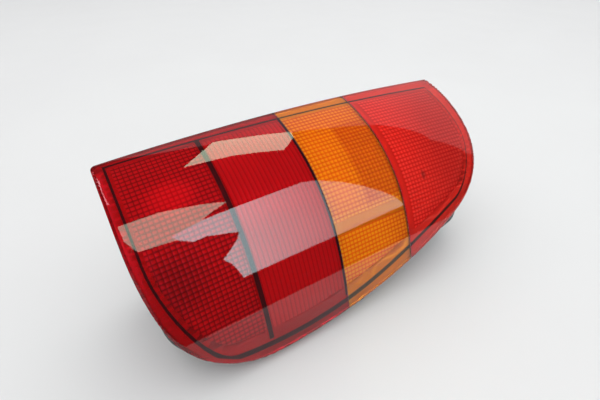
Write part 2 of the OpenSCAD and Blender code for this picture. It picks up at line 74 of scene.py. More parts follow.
# %% Drawing axes
MM = 1000.0
wide_low, wide_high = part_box("lens_dark_red")
amber_low, amber_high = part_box("lens_amber")
nose_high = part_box("lens_bright_red")[1]
CORNER = Vector((wide_low.x, wide_high.y, wide_high.z))
TO_FRAME = Matrix.Translation(CORNER) @ Matrix.Scale(1 / MM, 4)
LENGTH = (nose_high.x - wide_low.x) * MM
REACH = (wide_high.y - wide_low.y) * MM
DROP = (wide_high.z - wide_low.z) * MM
JOINT_1 = (amber_low.x - CORNER.x) * MM
JOINT_2 = (amber_high.x - CORNER.x) * MM
FLOOR_Z = cad_low.z
print(f"lens {LENGTH:.1f} mm long, reach {REACH:.1f}, drop {DROP:.1f}")
print(f"joints at {JOINT_1:.1f} and {JOINT_2:.1f}")

# %% [markdown]
# The camera comes first, because everything is judged through it. The photograph was taken from
# above and to the left with a wide lens. Its place was found by fitting the outline of the lens and
# the even grid of its pillows, so the camera's axes are written as found, in the drawing axes.

# %% Camera
FOCAL = 23.92
SENSOR = 36.0
SIGHT = (0.01, 50.0)
EYE = Vector((4.5, -310.05, 166.7))
RIGHT = Vector((0.85282, -0.52220, 0.0))
AHEAD = Vector((0.41097, 0.67116, -0.61696))
camera_data = bpy.data.cameras.new("camera")
camera_data.lens = FOCAL
camera_data.sensor_width = SENSOR
camera_data.sensor_fit = "HORIZONTAL"
camera_data.clip_start, camera_data.clip_end = SIGHT
camera = bpy.data.objects.new("camera", camera_data)
bpy.context.scene.collection.objects.link(camera)
turn = Matrix((RIGHT, RIGHT.cross(AHEAD), -AHEAD)).transposed().to_4x4()
camera.matrix_world = Matrix.Translation(TO_FRAME @ EYE) @ turn
bpy.context.scene.camera = camera
print("camera at", [round(v, 4) for v in camera.matrix_world.translation])

# %% [markdown]
# The lens follows a profile of three arcs and a straight end, bent gently along the lamp. Because
# each arc is known, a point of the surface can be worked out at any distance along the profile and
# any depth below the surface. The skin, the pillows and the edge all use the same function. Each arc
# has its slope at the start and at the end, in degrees, and its radius.

# %% Lens profile
ARCS = [(6, 27, 159), (27, 62, 133), (62, 74, 260)]
BOW_RADIUS = 2500.0
BOW_MIDDLE = 160.0
RUN_END = 232.0
NOTHING_LEFT = 1e-9


def profile(run):
    """Reach, height and slope at a distance along the profile."""
    reach, height = 0.0, 0.0
    slope = math.radians(ARCS[0][0])
    left = run
    if run > 0:
        for start, end, radius in ARCS:
            a, b = math.radians(start), math.radians(end)
            turned = min(left / radius, b - a)
            slope = a + turned
            reach += radius * (math.sin(slope) - math.sin(a))
            height += radius * (math.cos(slope) - math.cos(a))
            left -= turned * radius
            if left <= NOTHING_LEFT:
                return reach, height, slope
    return reach + left * math.cos(slope), height - left * math.sin(slope), slope


def lens_point(x, run, depth=0.0):
    """Point of the lens, in drawing axes, at a depth below its outer face."""
    reach, height, slope = profile(run)
    reach -= depth * math.sin(slope)
    height -= depth * math.cos(slope)
    height = math.sqrt((BOW_RADIUS + height) ** 2 - (x - BOW_MIDDLE) ** 2) - BOW_RADIUS
    return Vector((x, -reach, height))


print("end of the profile:", [round(v, 1) for v in lens_point(BOW_MIDDLE, RUN_END)])

# %% [markdown]
# Seen from the front the lens has a straight top, a big rounded corner, a long sweep and a nose.
# The outline is a chain of tangent circles, so each one starts where the last one ended. The wide
# edge, the sweep and the nose each have a radius and the angle where their arc ends.

# %% Lens outline
WIDE_EDGE = (200.0, 16.5)
WIDE_CORNER = 85.5
SWEEP = (512.0, 26.0)
NOSE = (81.0, 81.0)
ABOVE = 40.0
OUTLINE_STEPS = (48, 96, 120, 64)


def circle_run(middle, radius, start, end, steps):
    """Points of a circle between two angles in degrees."""
    angles = [math.radians(start + (end - start) * i / steps) for i in range(steps + 1)]
    return [middle + radius * Vector((math.cos(a), math.sin(a))) for a in angles]


def lens_outline():
    """Outline of the lens from the front, as x and height."""
    edge, corner, sweep, nose = OUTLINE_STEPS
    turned = math.radians(WIDE_EDGE[1])
    offset = (WIDE_EDGE[0] - WIDE_CORNER) * Vector((math.cos(turned), math.sin(turned)))
    edge_middle = Vector((WIDE_EDGE[0], WIDE_CORNER - DROP + offset.y))
    corner_middle = edge_middle - offset
    sweep_middle = Vector((corner_middle.x, SWEEP[0] - DROP))
    swept = math.radians(SWEEP[1])
    nose_middle = sweep_middle + (SWEEP[0] - NOSE[0]) * Vector((math.sin(swept), -math.cos(swept)))
    points = [Vector((0.0, ABOVE))]
    points += circle_run(edge_middle, WIDE_EDGE[0], 180, 180 + WIDE_EDGE[1], edge)
    points += circle_run(corner_middle, WIDE_CORNER, 180 + WIDE_EDGE[1], 270, corner)[1:]
    points += circle_run(sweep_middle, SWEEP[0], 270, 270 + SWEEP[1], sweep)[1:]
    points += circle_run(nose_middle, NOSE[0], 270 + SWEEP[1], 270 + NOSE[1], nose)[1:]
    rise = ABOVE - points[-1].y
    points.append(points[-1] + Vector((rise / math.tan(math.radians(NOSE[1])), rise)))
    return points


print("outline points:", len(lens_outline()))

# %% [markdown]
# The edge of a moulded lens is rounded over, so the skin below has to know how far each of its spots
# lies from that edge. A search tree of points along the edge, about one for each millimetre, answers
# this quickly for every vertex.

# %% Distance from the edge
HALVINGS = 30


def tree_of(points):
    """Search tree over a list of points."""
    tree = kdtree.KDTree(len(points))
    for number, point in enumerate(points):
        tree.insert(point, number)
    tree.balance()
    return tree


def run_at(x, height):
    """Distance along the profile where the surface has this height."""
    low, high = 0.0, RUN_END
    for _ in range(HALVINGS):
        middle = (low + high) / 2
        if lens_point(x, middle).z > height:
            low = middle
        else:
            high = middle
    return low


edge_points = [lens_point(x, 0.0) for x in range(int(LENGTH) + 1)]
for a, b in zip(lens_outline(), lens_outline()[1:]):
    pieces = max(1, int((b - a).length))
    for i in range(pieces):
        p = a.lerp(b, i / pieces)
        if p.y < lens_point(p.x, 0.0).z:
            edge_points.append(lens_point(p.x, run_at(p.x, p.y)))
edge_tree = tree_of(edge_points)
print("points along the edge:", len(edge_points))

# %% [markdown]
# Two helpers turn a bmesh into an object and join or cut two solids. Booleans are the right tool for
# trimming here, because the lens is a closed sheet that its outline cuts at odd angles. The solver
# made for closed meshes is the quickest, and every solid below is closed.

# %% Solids and booleans
SOLVER = "MANIFOLD"


def solid(name, bm):
    """Object made of a bmesh."""
    mesh = bpy.data.meshes.new(name)
    bm.to_mesh(mesh)
    bm.free()
    obj = bpy.data.objects.new(name, mesh)
    bpy.context.scene.collection.objects.link(obj)
    return obj


def combine(obj, tool, operation):
    """Joins, cuts or intersects obj with tool, which is used up."""
    modifier = obj.modifiers.new("combine", "BOOLEAN")
    modifier.operation = operation
    modifier.solver = SOLVER
    modifier.object = tool
    bpy.context.view_layer.update()
    made = obj.evaluated_get(bpy.context.evaluated_depsgraph_get())
    mesh = bpy.data.meshes.new_from_object(made)
    obj.modifiers.clear()
    old = obj.data
    obj.data = mesh
    bpy.data.meshes.remove(old)
    bpy.data.objects.remove(tool)
    return obj


print("solver for booleans:", SOLVER)

# %% [markdown]
# A node of the frame is loose triangles, so a copy of it is merged before a boolean uses it. Each
# face of the lens keeps a number that says which finish it gets: polished skin, pillows, flutes or
# plain inner face. A finished mesh moves into the frame, and its object stays at the origin.

# %% From the frame and back
SKIN, PILLOWS, FLUTES, BACK = 0, 1, 2, 3
DOUBLES = 0.001
SMOOTH_ANGLE = 30


def copy_of(node, kind):
    """Closed copy of a node of the frame, in drawing axes, with all its faces of one kind."""
    bm = bmesh.new()
    bm.from_mesh(frame["nodes"][node].data)
    for face in bm.faces:
        face.material_index = kind
    bmesh.ops.transform(bm, verts=bm.verts, matrix=TO_FRAME.inverted())
    bmesh.ops.remove_doubles(bm, verts=bm.verts, dist=DOUBLES)
    return solid(node + "_copy", bm)


def to_frame(obj):
    """Moves a finished mesh into the frame and smooths all but its sharp edges."""
    obj.data.transform(TO_FRAME)
    obj.data.shade_smooth()
    obj.data.set_sharp_from_angle(angle=math.radians(SMOOTH_ANGLE))
    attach(obj, "root")


print("kinds of lens face: skin", SKIN, "pillows", PILLOWS, "flutes", FLUTES, "back", BACK)

# %% [markdown]
# The optics start inside the reflector tub, whose outline from above is a long arc with a corner
# arc at each end. The arcs touch each other, so the middle of a corner arc follows from its radius
# and from the long arc. Moved in by an inset, the same outline gives the room inside the wall.

# %% Outline of the tub
WIDE_LIP = 8.0
NOSE_LIP = 13.3
NEAR_LIP = 4.5
FAR_LIPS = (4.0, 13.0)
NEAR_RADIUS = 1050.0
NEAR_MIDDLE = 110.0
TUB_CORNER = 48.0
TUB_STEPS = (12, 24, 12)


def tub_outline(inset):
    """Outline of the tub from above, moved in by an inset, as x and y."""
    base = Vector((NEAR_MIDDLE, NEAR_RADIUS - REACH + NEAR_LIP))
    ends = (WIDE_LIP + TUB_CORNER, LENGTH - NOSE_LIP - TUB_CORNER)
    turns = [math.degrees(math.asin((x - NEAR_MIDDLE) / (NEAR_RADIUS - TUB_CORNER))) for x in ends]
    wide, nose = [
        Vector((x, base.y - (NEAR_RADIUS - TUB_CORNER) * math.cos(math.radians(turn))))
        for x, turn in zip(ends, turns)
    ]
    start, end = 270 + turns[0], 270 + turns[1]
    outline = [Vector((WIDE_LIP + inset, -FAR_LIPS[0] - inset))]
    outline += circle_run(wide, TUB_CORNER - inset, 180, start, TUB_STEPS[0])
    outline += circle_run(base, NEAR_RADIUS - inset, start, end, TUB_STEPS[1])[1:]
    outline += circle_run(nose, TUB_CORNER - inset, end, 360, TUB_STEPS[2])[1:]
    outline.append(Vector((LENGTH - NOSE_LIP - inset, -FAR_LIPS[1] - inset)))
    return outline


print("points round the tub:", len(tub_outline(0)))

# %% [markdown]
# A prism over this outline trims the patterned layer and the bonding bead. One face pulled straight
# up is all it needs, and it runs past the lens at both ends, so that the cut is clean.

# %% Room inside the tub
PRISM_BELOW, PRISM_ABOVE = 20.0, 40.0


def tub_room(inset, kind):
    """Prism over the tub's outline, with all its faces of one kind."""
    bm = bmesh.new()
    corners = [bm.verts.new((p.x, p.y, -DROP - PRISM_BELOW)) for p in tub_outline(inset)]
    pulled = bmesh.ops.extrude_face_region(bm, geom=[bm.faces.new(corners)])
    moved = [v for v in pulled["geom"] if isinstance(v, bmesh.types.BMVert)]
    bmesh.ops.translate(bm, verts=moved, vec=(0, 0, DROP + (PRISM_BELOW + PRISM_ABOVE)))
    bmesh.ops.recalc_face_normals(bm, faces=bm.faces)
    for face in bm.faces:
        face.material_index = kind
    return solid("room", bm)


print("room runs from", round(-DROP - PRISM_BELOW, 1), "to", PRISM_ABOVE, "mm")

# %% [markdown]
# The optics run out towards the tub's wall, so they need to know how far a spot lies from it. A
# second search tree holds points along that wall, seen from above.

# %% Distance from the tub's wall
TUB_INSET = 5.4
ROOM_STEP = 1.0
room_points = []
outline = tub_outline(TUB_INSET)
for a, b in zip(outline, outline[1:] + outline[:1]):
    pieces = max(1, round((b - a).length / ROOM_STEP))
    room_points += [a.lerp(b, i / pieces).to_3d() for i in range(pieces)]
room_tree = tree_of(room_points)
print("points along the tub's wall:", len(room_points))

# %% [markdown]
# A slab is a flat grid that is pulled to a thickness and then laid on the profile. It gives both
# layers of the lens, the polished skin and the optics, because its two faces may have any depth. Its
# place on the profile is kept as a UV map, in steps of the pattern, so a finish can follow it.

# %% Slabs
PITCH = 4.0


def slab(name, x0, x1, run0, run1, step, top, bottom, kind):
    """Closed slab between two depths, each a function of x and run."""
    columns = max(1, round((x1 - x0) / step[0]))
    rows = max(1, round((run1 - run0) / step[1]))
    bm = bmesh.new()
    bmesh.ops.create_grid(bm, x_segments=columns, y_segments=rows, size=0.5)
    pulled = bmesh.ops.extrude_face_region(bm, geom=bm.faces[:], use_keep_orig=True)
    inner = {v for v in pulled["geom"] if isinstance(v, bmesh.types.BMVert)}
    surface = bm.loops.layers.uv.new("surface")
    for face in bm.faces:
        face.material_index = kind
        for loop in face.loops:
            x = x0 + (loop.vert.co.x + 0.5) * (x1 - x0)
            run = run0 + (loop.vert.co.y + 0.5) * (run1 - run0)
            loop[surface].uv = (x / PITCH, run / PITCH)
    for v in bm.verts:
        x = x0 + (v.co.x + 0.5) * (x1 - x0)
        run = run0 + (v.co.y + 0.5) * (run1 - run0)
        v.co = lens_point(x, run, bottom(x, run) if v in inner else top(x, run))
    bmesh.ops.recalc_face_normals(bm, faces=bm.faces)
    return solid(name, bm)


print("pitch of the pattern:", PITCH, "mm")

# %% [markdown]
# The skin of a moulded lens has no sharp edge. A slab with its edge rounded over, cut with the
# frame's own lens, keeps the wall, the rim and every joint where they are, and only its outer face
# and edge change. The skin starts a hair below the frame's face, so that the cut stays clean.

# %% Polished skin
EDGE_ROUND = 2.2
SKIN_STEP = 1.0
SKIN_DEPTH = 0.1
SKIN_REACH = 30.0
SKIN_START = -3.0


def rounded_top(x, run):
    """Depth of the outer face: just under the frame's lens, and rounded over at the edge."""
    edge = edge_tree.find(lens_point(x, run))[2]
    if edge >= EDGE_ROUND:
        return SKIN_DEPTH
    return SKIN_DEPTH + EDGE_ROUND - math.sqrt(EDGE_ROUND**2 - (EDGE_ROUND - edge) ** 2)


def deep_bottom(x, run):
    """Depth of the skin's inner face, below every part of the lens."""
    return SKIN_REACH


def lens_shell(node, x0, x1):
    """The frame's lens with a smooth, round-edged skin."""
    step = (SKIN_STEP, SKIN_STEP)
    skin = slab("skin", x0, x1, SKIN_START, RUN_END, step, rounded_top, deep_bottom, SKIN)
    shell = combine(skin, copy_of(node, BACK), "INTERSECT")
    shell.name = node + "_shell"
    return shell


print("edge rounded to", EDGE_ROUND, "mm")

# %% [markdown]
# The three colours are poured one after the other in one mould, so their skins meet flush. Each skin
# runs a little past its joints before the cut, and the frame's lens then trims it to its own length.

# %% Three skins
SKIN_PAST = 2.0
SKIN_PAST_NOSE = 3.0
dark = lens_shell("lens_dark_red", -SKIN_PAST, JOINT_1 + SKIN_PAST)
amber = lens_shell("lens_amber", JOINT_1 - SKIN_PAST, JOINT_2 + SKIN_PAST)
bright = lens_shell("lens_bright_red", JOINT_2 - SKIN_PAST, LENGTH + SKIN_PAST_NOSE)
print("faces of the skins:", [len(piece.data.polygons) for piece in (dark, amber, bright)])

# %% [markdown]
# Small square pillows and shallow flutes spread the light. They could be a bump in the material, but
# as real form they also bend what is seen behind them. They stand on the inner face of a thin layer,
# where a real lens has them too, so the outside stays smooth.

# %% Pillows and flutes
PILLOW_RISE = 0.34
FLUTE_RISE = 0.2
LAYER_TOP = 2.0
LAYER_LOW = 3.12
FADE = 3.0


def fading(x, run):
    """Share of the full rise: the optics run out beside the housing's wall."""
    place = lens_point(x, run)
    return min(1.0, room_tree.find((place.x, place.y, 0))[2] / FADE)


def pillow(x, run):
    """Depth of a small dome over each square of the grid."""
    u = 2 * ((x / PITCH) % 1) - 1
    v = 2 * ((run / PITCH) % 1) - 1
    return LAYER_LOW + PILLOW_RISE * (2 - u * u - v * v) * fading(x, run)


def flute(x, run):
    """Depth of the shallow flutes."""
    u = 2 * ((x / PITCH) % 1) - 1
    return LAYER_LOW + FLUTE_RISE * (1 - u * u) * fading(x, run)


def layer_top(x, run):
    """Depth of the layer's outer face, inside the wall of the lens."""
    return LAYER_TOP


print(f"pillows stand {2 * PILLOW_RISE:.2f} mm high, flutes {FLUTE_RISE:.2f} mm")

# %% [markdown]
# The lamp has four cells. The first, the amber and the bright red one have pillows, and the second
# has flutes. The walls under the joints and a band beside the amber stay plain, and so does a strip
# across the amber cell. A layer is trimmed to the room inside the tub and joined to its skin.

# %% Four cells
WALL_1 = 85.0
WALL_CLEAR = 3.2
FLUTES_END = 2.0
AMBER_END = 1.0
PLAIN_BAND = 9.0
PLAIN_STRIP = (127.0, 139.0)
CELL_STEP = PITCH / 5


def add_optics(shell, ends, runs, kind, step, rise):
    """Joins a patterned layer to the inside of a shell."""
    layer = slab("layer", *ends, *runs, step, layer_top, rise, kind)
    combine(layer, tub_room(TUB_INSET, BACK), "INTERSECT")
    combine(shell, layer, "UNION")


FINE = (CELL_STEP, CELL_STEP)
ALL = (0.0, RUN_END)
AMBER = (JOINT_1, JOINT_2 - AMBER_END)
add_optics(dark, (0.0, WALL_1 - WALL_CLEAR), ALL, PILLOWS, FINE, pillow)
add_optics(dark, (WALL_1 + WALL_CLEAR, JOINT_1 - FLUTES_END), ALL, FLUTES, (CELL_STEP, PITCH), flute)
add_optics(amber, AMBER, (0.0, PLAIN_STRIP[0]), PILLOWS, FINE, pillow)
add_optics(amber, AMBER, (PLAIN_STRIP[1], RUN_END), PILLOWS, FINE, pillow)
add_optics(bright, (JOINT_2 + PLAIN_BAND, LENGTH), ALL, PILLOWS, FINE, pillow)
for piece, node in ((dark, "lens_dark_red"), (amber, "lens_amber"), (bright, "lens_bright_red")):
    to_frame(piece)
    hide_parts(node)
    print(piece.name, "faces", len(piece.data.polygons))

# %% [markdown]
# Materials are built from shader nodes. Three helpers keep that short: one finds a material's shader,
# one fills a socket with a value or a link, and one adds a node with its settings and inputs. The
# settings come first, because they decide which inputs a node has.

# %% Shader nodes


def shader_of(material):
    """The shader of a material."""
    return material.node_tree.nodes["Principled BSDF"]


def fill(material, socket, value):
    """Gives a socket a plain value, or links it to another node's output."""
    if isinstance(value, bpy.types.NodeSocket):
        material.node_tree.links.new(value, socket)
    else:
        socket.default_value = value


def add_node(material, kind, inputs=None, **settings):
    """New shader node of a kind, with its settings made before its inputs are filled."""
    node = material.node_tree.nodes.new("ShaderNode" + kind)
    for name, value in settings.items():
        setattr(node, name, value)
    for key, value in (inputs or {}).items():
        fill(material, node.inputs[key], value)
    return node


print("shader nodes of Blender", bpy.app.version_string)

# %% [markdown]
# A value that is the same all over a surface is set on the shader's own socket, and only what varies
# gets nodes. Noise on object coordinates gives the faint dust and wiping marks that vary the
# roughness, and the grain of moulded plastic.

# %% Roughness and grain
NOISE_SPAN = (0.35, 0.65)


def new_material(name, color, roughness, metallic=0.0, ior=1.5):
    """Material with its uniform values on the shader's own sockets."""
    material = bpy.data.materials.new(name)
    material.use_nodes = True
    shader = shader_of(material)
    shader.inputs["Base Color"].default_value = (*color, 1)
    shader.inputs["Roughness"].default_value = roughness
    shader.inputs["Metallic"].default_value = metallic
    shader.inputs["IOR"].default_value = ior
    return material


def noise(material, scale, detail=4.0):
    """Noise on object coordinates."""
    where = add_node(material, "TexCoord").outputs["Object"]
    inputs = {"Vector": where, "Scale": scale, "Detail": detail}
    return add_node(material, "TexNoise", inputs).outputs["Fac"]


def wander(material, scale, low, high):
    """Lets the roughness wander between two values, in patches of noise."""
    spread = add_node(material, "MapRange", {
        "Value": noise(material, scale),
        "From Min": NOISE_SPAN[0],
        "From Max": NOISE_SPAN[1],
        "To Min": low,
        "To Max": high,
    })
    fill(material, shader_of(material).inputs["Roughness"], spread.outputs["Result"])


def bump(material, source, strength, distance):
    """Fine grain as bump."""
    inputs = {"Height": source, "Strength": strength, "Distance": distance}
    grain = add_node(material, "Bump", inputs)
    fill(material, shader_of(material).inputs["Normal"], grain.outputs["Normal"])


print("noise is spread from", NOISE_SPAN[0], "to", NOISE_SPAN[1])

# %% [markdown]
# The lens is coloured acrylic: light passes it, takes its colour and bends. The skin is clear all
# through. On the inner face the shader scatters most of the light, which stands for the many small
# bends in real optics and settles in fewer samples. A piece has one slot for each kind of face, and
# the slots are filled in order.

# %% Acrylic
ACRYLIC_IOR = 1.49
POLISH = 0.02
POLISH_PATCHES = 60
POLISH_SPAN = (0.6, 1.6)
OPTIC_CLEAR = 0.2
OPTIC_ROUGHNESS = 0.12
BACK_CLEAR = 0.3
BACK_ROUGHNESS = 0.1
BACK_DEPTH = 0.85


def acrylic(name, color, clear, roughness=POLISH):
    """Coloured plastic of a lens: the clear share lets light through, the rest scatters it."""
    material = new_material(name, color, roughness, ior=ACRYLIC_IOR)
    shader_of(material).inputs["Transmission Weight"].default_value = clear
    wander(material, POLISH_PATCHES, roughness * POLISH_SPAN[0], roughness * POLISH_SPAN[1])
    return material


def dress(piece, materials):
    """Fills the slots of a piece in order, so that each face keeps its number."""
    slots = piece.data.materials
    for number, material in enumerate(materials):
        if number < len(slots):
            slots[number] = material
        else:
            slots.append(material)


print("share of clear plastic inside:", OPTIC_CLEAR, "and", BACK_CLEAR)

# %% [markdown]
# Each pillow and flute meets the next in a groove, which looks dark because it bends light away, so
# that shade is painted into the colour along the grooves. The UV map counts the pattern, so a wave that
# folds back at every half step rises from 0 on a groove. Pillows get painted groove shade both ways,
# and flutes only across x.

# %% Grooves and their painted shade


def ridge(material, part, width):
    """Value from 0 on the borders of the pattern to 1 beyond a width, along one way of the surface."""
    wave = add_node(material, "Math", {0: part, 1: 0.5}, operation="PINGPONG").outputs[0]
    inputs = {"Value": wave, "From Max": width}
    return add_node(material, "MapRange", inputs, interpolation_type="SMOOTHSTEP").outputs["Result"]


def grooves(material, place, widths):
    """Mask of the painted groove shade: 0 in the grooves across x, along the run, or both; a width of 0
    leaves one out.
    """
    split = add_node(material, "SeparateXYZ", {"Vector": place})
    lines = [ridge(material, split.outputs[axis], width) for axis, width in zip("XY", widths) if width]
    shade = lines[0]
    for line in lines[1:]:
        shade = add_node(material, "Math", {0: shade, 1: line}, operation="MULTIPLY").outputs[0]
    return shade


print("widths of grooves are shares of a pitch of", PITCH, "mm")

# %% [markdown]
# Behind the optics, bulbs and the reflector's walls make some stretches brighter or darker. This
# light and shade is painted into the lens's colour: a soft box or oval of painted glow or painted shade,
# placed on the same map by its middle and half size.

# %% Painted glow and shade


def painted_light_spot(material, place, middle, half, soft, form):
    """Mask of a painted glow or shade: 1 in a box or an oval of the lens, given in mm, and falls to 0
    round it.
    """
    centre = (middle[0] / PITCH, middle[1] / PITCH, 0)
    scale = (PITCH / half[0], PITCH / half[1], 0)
    offset = add_node(material, "VectorMath", {0: place, 1: centre}, operation="SUBTRACT").outputs[0]
    share = add_node(material, "VectorMath", {0: offset, 1: scale}, operation="MULTIPLY").outputs[0]
    if form == "oval":
        far = add_node(material, "VectorMath", {0: share}, operation="LENGTH").outputs["Value"]
    else:
        plain = add_node(material, "VectorMath", {0: share}, operation="ABSOLUTE").outputs[0]
        parts = add_node(material, "SeparateXYZ", {"Vector": plain}).outputs
        far = add_node(material, "Math", {0: parts["X"], 1: parts["Y"]}, operation="MAXIMUM").outputs[0]
    inputs = {"Value": far, "From Min": 1 + soft, "From Max": 1 - soft}
    return add_node(material, "MapRange", inputs, interpolation_type="SMOOTHSTEP").outputs["Result"]


print("fields are placed in mm along a lens of", round(LENGTH, 1), "by", RUN_END, "mm")

# %% [markdown]
# The inner face puts these together. Painted glow that is mixed in changes the plastic below the
# grooves, then the painted groove shade darkens it, and the other painted glow and shade act on both.

# %% Inner face


def blend(material, way, share, under, over):
    """Colour made of two, blended by a share."""
    inputs = {"Factor": share, "A": under, "B": over}
    return add_node(material, "Mix", inputs, data_type="RGBA", blend_type=way).outputs["Result"]


def optic_acrylic(name, color, groove_shade, widths, painted_spots=()):
    """Inner face of a lens: the same plastic, with painted shade in its grooves and painted glow and
    shade over it.
    """
    material = acrylic(name, color, OPTIC_CLEAR, OPTIC_ROUGHNESS)
    place = add_node(material, "UVMap", uv_map="surface").outputs["UV"]
    below = [row for row in painted_spots if row[0] == "MIX"]
    above = [row for row in painted_spots if row[0] != "MIX"]
    shown = (*color, 1)
    # painted glow mixed into the plastic under the grooves
    for way, middle, half, soft, form, tint in below:
        shown = blend(material, way, painted_light_spot(material, place, middle, half, soft, form), shown, (*tint, 1))
    # painted shade in the grooves
    shown = blend(material, "MIX", grooves(material, place, widths), (*groove_shade, 1), shown)
    # painted glow and painted shade laid over everything
    for way, middle, half, soft, form, tint in above:
        shown = blend(material, way, painted_light_spot(material, place, middle, half, soft, form), shown, (*tint, 1))
    fill(material, shader_of(material).inputs["Base Color"], shown)
    return material


print("roughness of the inner face:", OPTIC_ROUGHNESS)

# %% [markdown]
# Each stretch of the lens has its plastic and a darker colour of painted shade for its grooves. A box
# or oval of painted glow or shade has its way of blending, its middle and half size in mm as x and run,
# its softness, its form and its colour.

# %% The three plastics
# each plastic: its piece, its own colour and the colour of its painted groove shade
PLASTICS = {
    "dark_red_acrylic": (dark, (0.74, 0.012, 0.03), (0.27, 0.003, 0.009)),
    "amber_acrylic": (amber, (1.0, 0.45, 0.012), (0.74, 0.13, 0.003)),
    "bright_red_acrylic": (bright, (1.0, 0.13, 0.09), (0.62, 0.025, 0.018)),
}
# boxes and ovals of painted glow and painted shade on each lens
PAINTED_GLOW_AND_SHADE = {
    "dark_red_acrylic": [
        # painted shade on the lower part of the first cell, and a painted glow round its bulb
        ("MULTIPLY", (22, 122), (26, 22), 0.6, "oval", (0.62, 0.5, 0.5)),
        ("MIX", (46, 56), (18, 14), 0.6, "oval", (1.0, 0.04, 0.055)),
        ("SCREEN", (46, 56), (16, 12), 0.6, "oval", (0.5, 0.01, 0.02)),
    ],
    "amber_acrylic": [
        # painted shade over the reflector's bowl, a painted bright line beside the plain strip, painted
        # glow of the bulbs
        ("MULTIPLY", (226, 80), (21, 42), 0.14, "box", (0.84, 0.52, 0.4)),
        ("MIX", (205, 124.6), (42, 2.2), 0.3, "box", (1.0, 0.66, 0.06)),
        ("MIX", (190, 165), (34, 34), 0.5, "oval", (1.0, 0.56, 0.02)),
        ("SCREEN", (190, 165), (34, 34), 0.5, "oval", (0.6, 0.05, 0.0)),
        ("SCREEN", (182, 80), (16, 40), 0.5, "oval", (0.5, 0.04, 0.0)),
    ],
    "bright_red_acrylic": [
        # painted shade over the nose, and a small painted dark spot where a bulb shows through
        ("MULTIPLY", (345, 90), (56, 90), 0.6, "oval", (0.70, 0.6, 0.6)),
        ("MULTIPLY", (277, 114), (2.4, 4.5), 0.5, "oval", (0.5, 0.8, 0.9)),
    ],
}
print("fields:", sum(len(rows) for rows in PAINTED_GLOW_AND_SHADE.values()))

# %% [markdown]
# Each piece of the lens gets its four materials: clear skin, pillows, flutes and plain inner face.
# The flutes are shallow, so their painted groove shade is lighter, and the plain face is a little
# deeper in colour than the skin.

# %% Dress the lens
# widths of the painted groove shade, as shares of a pitch
PILLOW_GROOVES = (0.2, 0.34)
FLUTE_GROOVES = (0.24, 0)
FLUTE_SHARE = 0.4
for slot, (piece, color, groove_shade) in PLASTICS.items():
    # the flutes' painted groove shade, lighter than the pillows'
    shallow = [g + FLUTE_SHARE * (c - g) for c, g in zip(color, groove_shade)]
    deeper = [v * BACK_DEPTH for v in color]
    dress(piece, (
        acrylic(slot, color, 1.0),
        optic_acrylic(slot + "_pillows", color, groove_shade, PILLOW_GROOVES, PAINTED_GLOW_AND_SHADE[slot]),
        optic_acrylic(slot + "_flutes", color, shallow, FLUTE_GROOVES),
        acrylic(slot + "_back", deeper, BACK_CLEAR, BACK_ROUGHNESS),
    ))
print("lens materials:", [m.name for m in dark.data.materials])

# %% [markdown]
# The other finishes share one helper. Patches are the scale of a noise and the two values between
# which the roughness wanders. A grain is given by its scale, detail, strength and depth. The thread
# of the studs is too fine to model, so it is a wave of rings, one for each turn.

# %% Finish helpers
THREAD_PITCH = 0.001
THREAD_DEPTH = 0.0004
THREAD_STRENGTH = 0.8
WAVE_TURN = 20.0


def finish(name, color, roughness, patches=None, grain=None, metallic=0.0):
    """Material with its patches of roughness and its grain."""
    material = new_material(name, color, roughness, metallic)
    if grain:
        scale, detail, strength, depth = grain
        bump(material, noise(material, scale, detail), strength, depth)
    if patches:
        wander(material, *patches)
    return material


def thread(material, pitch):
    """Rings across the studs, one for each turn of their thread."""
    where = add_node(material, "TexCoord").outputs["Object"]
    inputs = {"Vector": where, "Scale": 2 * math.pi / (WAVE_TURN * pitch)}
    return add_node(material, "TexWave", inputs, bands_direction="Z").outputs["Fac"]


print("thread pitch:", THREAD_PITCH * MM, "mm")

# %% [markdown]
# The lamp's other materials are grained black plastic, grey plastic, bright metallised plastic, foam,
# rubber, brass, plated steel and clear glass. Metals are smooth with uneven patches, moulded plastics
# have a fine grain, and foam has a coarse one.

# %% Finishes
black_plastic = finish(
    "black_plastic", (0.02, 0.02, 0.022), 0.55, (90, 0.45, 0.62), (2200, 2, 0.25, 0.0002))
grey_plastic = finish(
    "grey_plastic", (0.55, 0.55, 0.53), 0.5, (70, 0.4, 0.58), (1800, 2, 0.2, 0.0002))
metallised = finish("metallised_plastic", (0.88, 0.88, 0.89), 0.4, (120, 0.35, 0.45), metallic=1.0)
foam = finish("foam", (0.035, 0.035, 0.037), 0.95, grain=(1500, 3, 0.7, 0.0005))
rubber = finish("rubber", (0.02, 0.02, 0.02), 0.7, grain=(900, 2, 0.2, 0.0002))
brass = finish("brass", (0.78, 0.58, 0.26), 0.3, (150, 0.22, 0.42), metallic=1.0)
plated = finish("plated_steel", (0.62, 0.61, 0.56), 0.35, (300, 0.25, 0.45), metallic=1.0)
bump(plated, thread(plated, THREAD_PITCH), THREAD_STRENGTH, THREAD_DEPTH)
bulb_glass = finish("bulb_glass", (0.97, 0.98, 0.98), 0.0, (80, 0.0, 0.03))
shader_of(bulb_glass).inputs["Transmission Weight"].default_value = 1.0
print("materials so far:", len(bpy.data.materials))

# %% [markdown]
# The other pieces of the frame keep their shape and only get a finish, which follows the material
# slot that the record gives each of them.

